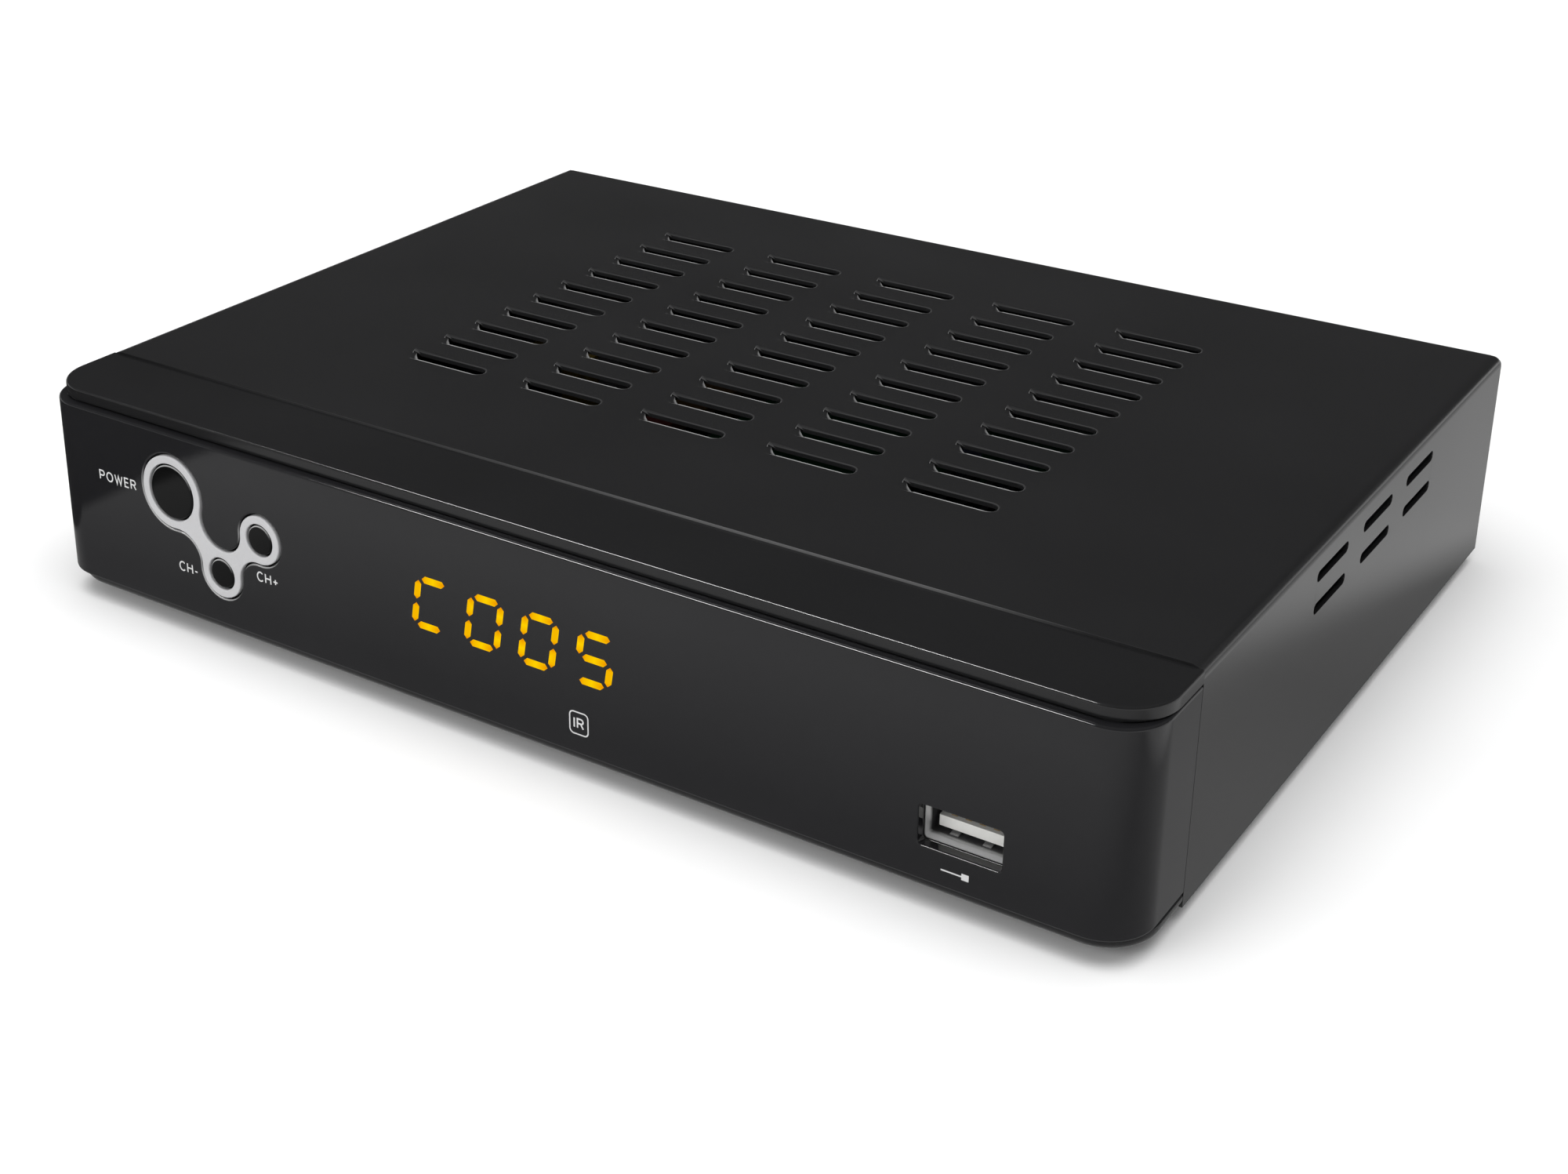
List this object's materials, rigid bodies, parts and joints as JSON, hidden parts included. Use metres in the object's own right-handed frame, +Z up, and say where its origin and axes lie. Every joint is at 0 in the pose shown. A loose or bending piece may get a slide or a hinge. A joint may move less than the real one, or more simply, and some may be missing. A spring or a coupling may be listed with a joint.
{
  "type": "digital converter box",
  "caption": "Low black television converter box: steel case with slots, glossy wrap-round front with sprung buttons in silver rings, amber digits, USB port and rear sockets.",
  "frame": {"origin": "bottom middle of the box round the whole part, on the plane the feet rest on", "axes": "+X to the right seen from the front, +Y to the back, +Z up; the front faces -Y"},
  "size_m": [0.22, 0.1724, 0.0427],
  "materials": {
    "case_paint": "fine satin black paint",
    "bezel_plastic": "satin black moulding",
    "fascia_gloss": "dark glossy moulding",
    "trim_silver": "satin silver",
    "button_gloss": "glossy black",
    "segment_amber": "lit amber",
    "foot_rubber": "dull black",
    "black_screw": "blackened steel",
    "bright_steel": "bright tinned steel",
    "nickel": "bright nickel",
    "contact_gold": "gold flash",
    "post_brass": "turned brass",
    "board_green": "dark green solder resist",
    "board_tan": "brown laminate",
    "package_black": "moulded black",
    "eye_plastic": "dark filter plastic",
    "cream_plastic": "dull cream moulding",
    "white_plastic": "white moulding",
    "yellow_plastic": "yellow moulding",
    "red_plastic": "red moulding",
    "sink_aluminium": "dull anodised",
    "capacitor_sleeve": "shrunk sleeve",
    "ferrite": "dull ferrite",
    "winding_tape": "dark amber tape",
    "fuse_glass": "clear",
    "lead_grey": "grey ribbon",
    "lead_red": "dark red insulation",
    "lead_brown": "brown insulation"
  },
  "bodies": {
    "case": {"chassis_tray": "case_paint", "top_cover": "case_paint", "front_bezel": "bezel_plastic", "front_fascia": "fascia_gloss", "button_trim": "trim_silver", "rubber_feet": "foot_rubber", "cover_screws": "black_screw", "bezel_screws": "bright_steel", "tact_switches": "package_black", "front_board": "board_green", "front_board_screws": "bright_steel", "led_display": "cream_plastic", "lit_segments": "segment_amber", "remote_eye": "eye_plastic", "usb_shell": "bright_steel", "usb_tongue": "white_plastic", "usb_contacts": "contact_gold", "main_board": "board_green", "standoffs": "post_brass", "board_screws": "bright_steel", "main_chip": "package_black", "heat_sink": "sink_aluminium", "memory_chips": "package_black", "small_capacitors": "capacitor_sleeve", "ribbon_headers": "cream_plastic", "front_ribbon": "lead_grey", "tuner_can": "bright_steel", "antenna_sockets": "nickel", "antenna_inserts": "white_plastic", "antenna_nuts": "nickel", "av_block": "package_black", "av_sleeves": "nickel", "av_inserts": "package_black", "video_hub": "yellow_plastic", "left_sound_hub": "white_plastic", "right_sound_hub": "red_plastic", "hdmi_shell": "bright_steel", "hdmi_tongue": "package_black", "mains_inlet": "package_black", "inlet_pins": "bright_steel", "mains_wires": "lead_brown", "power_board": "board_tan", "fuse": "fuse_glass", "fuse_clips": "bright_steel", "bulk_capacitor": "capacitor_sleeve", "transformer_core": "ferrite", "transformer_winding": "winding_tape", "power_heat_sink": "sink_aluminium", "power_transistor": "package_black", "output_capacitors": "capacitor_sleeve", "harness_headers": "cream_plastic", "power_harness": "lead_red"},
    "power_key": {"power_button": "button_gloss", "power_switch_plunger": "cream_plastic"},
    "channel_down_key": {"channel_down_button": "button_gloss", "channel_down_plunger": "cream_plastic"},
    "channel_up_key": {"channel_up_button": "button_gloss", "channel_up_plunger": "cream_plastic"}
  },
  "joints": [
    {"name": "power_press", "type": "slide", "parent": "case", "child": "power_key", "axis": [0, 1, 0], "range_m": [0, 0.0005], "stiffness_N_per_m": 2000},
    {"name": "channel_down_press", "type": "slide", "parent": "case", "child": "channel_down_key", "axis": [0, 1, 0], "range_m": [0, 0.0005], "stiffness_N_per_m": 2000},
    {"name": "channel_up_press", "type": "slide", "parent": "case", "child": "channel_up_key", "axis": [0, 1, 0], "range_m": [0, 0.0005], "stiffness_N_per_m": 2000}
  ]
}
